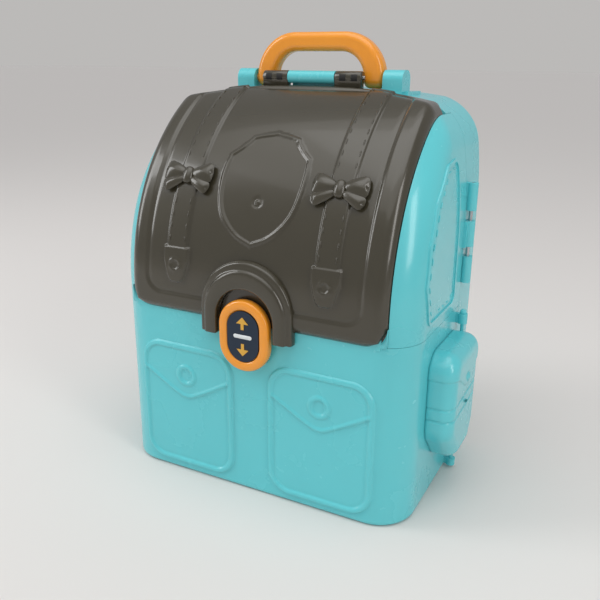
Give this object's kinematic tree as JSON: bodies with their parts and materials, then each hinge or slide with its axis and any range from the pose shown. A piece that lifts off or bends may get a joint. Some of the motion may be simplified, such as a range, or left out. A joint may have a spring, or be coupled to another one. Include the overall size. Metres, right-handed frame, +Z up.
{
  "type": "toy cooking set",
  "caption": "Toy kitchen in a backpack-shaped case: flap, side doors and latch open on a worktop with hob, sink, pans, cups and utensils.",
  "frame": {"origin": "middle of the case's flat base", "axes": "+Z up, -Y the front with the flap and the latch, +X on the right of someone facing the front"},
  "size_m": [0.294, 0.168, 0.347],
  "materials": {
    "cyan_plastic": "glossy moulded plastic with a fine sink-mark ripple",
    "brown_plastic": "glossy moulded plastic, warm grey-brown",
    "orange_plastic": "glossy moulded plastic, orange",
    "navy_plastic": "smooth printed plate",
    "gold_print": "raised gold arrows",
    "slide_plastic": "plain white plastic",
    "white_plastic": "glossy white plastic",
    "dark_plastic": "glossy black plastic",
    "grey_plastic": "silver-grey plastic",
    "pin_steel": "bright steel",
    "pin_plastic": "plastic pins in the colour of the case"
  },
  "bodies": {
    "case": {"back_shell": "cyan_plastic", "lower_case": "cyan_plastic", "case_screws": "pin_steel", "right_door_pin": "pin_steel", "left_door_pin": "pin_steel", "flap_hinge_rod": "pin_steel", "latch_cover": "cyan_plastic", "latch_backplate": "brown_plastic", "left_latch_spring": "pin_steel", "right_latch_spring": "pin_steel", "right_pod_pin": "pin_plastic", "left_pod_pin": "pin_plastic", "worktop": "white_plastic", "hob_plate": "dark_plastic", "left_burner": "dark_plastic", "right_burner": "dark_plastic", "sink_bowl": "grey_plastic", "tap_base": "grey_plastic", "back_board": "cyan_plastic", "plate_stand": "white_plastic"},
    "flap": {"case_flap": "brown_plastic"},
    "handle": {"carry_handle": "orange_plastic"},
    "latch": {"latch_button": "orange_plastic", "latch_insert": "navy_plastic", "latch_arrows": "gold_print", "latch_slide": "slide_plastic"},
    "right_door": {"right_door": "cyan_plastic", "right_door_tray": "cyan_plastic"},
    "left_door": {"left_door": "cyan_plastic", "left_door_tray": "cyan_plastic"},
    "right_pod": {"right_pod": "cyan_plastic"},
    "left_pod": {"left_pod": "cyan_plastic"},
    "left_knob": {"left_knob": "orange_plastic"},
    "right_knob": {"right_knob": "orange_plastic"},
    "spout": {"tap_spout": "grey_plastic"},
    "saucepan": {"saucepan": "grey_plastic"},
    "saucepan_lid": {"saucepan_lid": "grey_plastic"},
    "frying_pan": {"frying_pan": "grey_plastic"},
    "left_cup": {"left_cup": "white_plastic"},
    "right_cup": {"right_cup": "white_plastic"},
    "front_plate": {"front_plate": "white_plastic"},
    "back_plate": {"back_plate": "white_plastic"},
    "ladle": {"ladle": "orange_plastic"},
    "fork": {"fork": "orange_plastic"},
    "spatula": {"spatula": "orange_plastic"}
  },
  "joints": [
    {"name": "flap_hinge", "type": "hinge", "parent": "case", "child": "flap", "pos_m": [0, 0.021, 0.3135], "axis": [-1, 0, 0], "range_deg": [0, 110]},
    {"name": "handle_hinge", "type": "hinge", "parent": "case", "child": "handle", "pos_m": [0, 0.035, 0.3125], "axis": [-1, 0, 0], "range_deg": [0, 85]},
    {"name": "latch_slide", "type": "slide", "parent": "case", "child": "latch", "axis": [0, 0, 1], "range_m": [-0.005, 0.005], "stiffness_N_per_m": 800, "deforming": ["left_latch_spring", "right_latch_spring"]},
    {"name": "right_door_hinge", "type": "hinge", "parent": "case", "child": "right_door", "pos_m": [0.1275, 0.0388, 0.2], "axis": [0, 0, 1], "range_deg": [0, 100]},
    {"name": "left_door_hinge", "type": "hinge", "parent": "case", "child": "left_door", "pos_m": [-0.1275, 0.0388, 0.2], "axis": [0, 0, -1], "range_deg": [0, 100]},
    {"name": "right_pod_hinge", "type": "hinge", "parent": "case", "child": "right_pod", "pos_m": [0.1305, 0.03, 0.07], "axis": [0, 0, 1], "range_deg": [0, 90]},
    {"name": "left_pod_hinge", "type": "hinge", "parent": "case", "child": "left_pod", "pos_m": [-0.1305, 0.03, 0.07], "axis": [0, 0, -1], "range_deg": [0, 90]},
    {"name": "left_knob_turn", "type": "hinge", "parent": "case", "child": "left_knob", "pos_m": [-0.048, -0.06, 0.145], "axis": [0, 0, 1], "range_deg": [-135, 135]},
    {"name": "right_knob_turn", "type": "hinge", "parent": "case", "child": "right_knob", "pos_m": [-0.02, -0.06, 0.145], "axis": [0, 0, 1], "range_deg": [-135, 135]},
    {"name": "spout_swivel", "type": "hinge", "parent": "case", "child": "spout", "pos_m": [0.064, 0.046, 0.16], "axis": [0, 0, 1], "range_deg": [-60, 60]},
    {"name": "saucepan_lift", "type": "slide", "parent": "case", "child": "saucepan", "axis": [0, 0, 1], "range_m": [0, 0.04]},
    {"name": "lid_lift", "type": "slide", "parent": "saucepan", "child": "saucepan_lid", "axis": [0, 0, 1], "range_m": [0, 0.025]},
    {"name": "frying_pan_lift", "type": "slide", "parent": "case", "child": "frying_pan", "axis": [0, 0, 1], "range_m": [0, 0.04]},
    {"name": "left_cup_lift", "type": "slide", "parent": "case", "child": "left_cup", "axis": [0, 0, 1], "range_m": [0, 0.03]},
    {"name": "right_cup_lift", "type": "slide", "parent": "case", "child": "right_cup", "axis": [0, 0, 1], "range_m": [0, 0.03]},
    {"name": "front_plate_lift", "type": "slide", "parent": "case", "child": "front_plate", "axis": [0, 0, 1], "range_m": [0, 0.012]},
    {"name": "back_plate_lift", "type": "slide", "parent": "case", "child": "back_plate", "axis": [0, 0, 1], "range_m": [0, 0.012]},
    {"name": "ladle_unhook", "type": "slide", "parent": "case", "child": "ladle", "axis": [0, -1, 0], "range_m": [0, 0.01]},
    {"name": "fork_unhook", "type": "slide", "parent": "case", "child": "fork", "axis": [0, -1, 0], "range_m": [0, 0.01]},
    {"name": "spatula_unhook", "type": "slide", "parent": "case", "child": "spatula", "axis": [0, -1, 0], "range_m": [0, 0.01]}
  ]
}
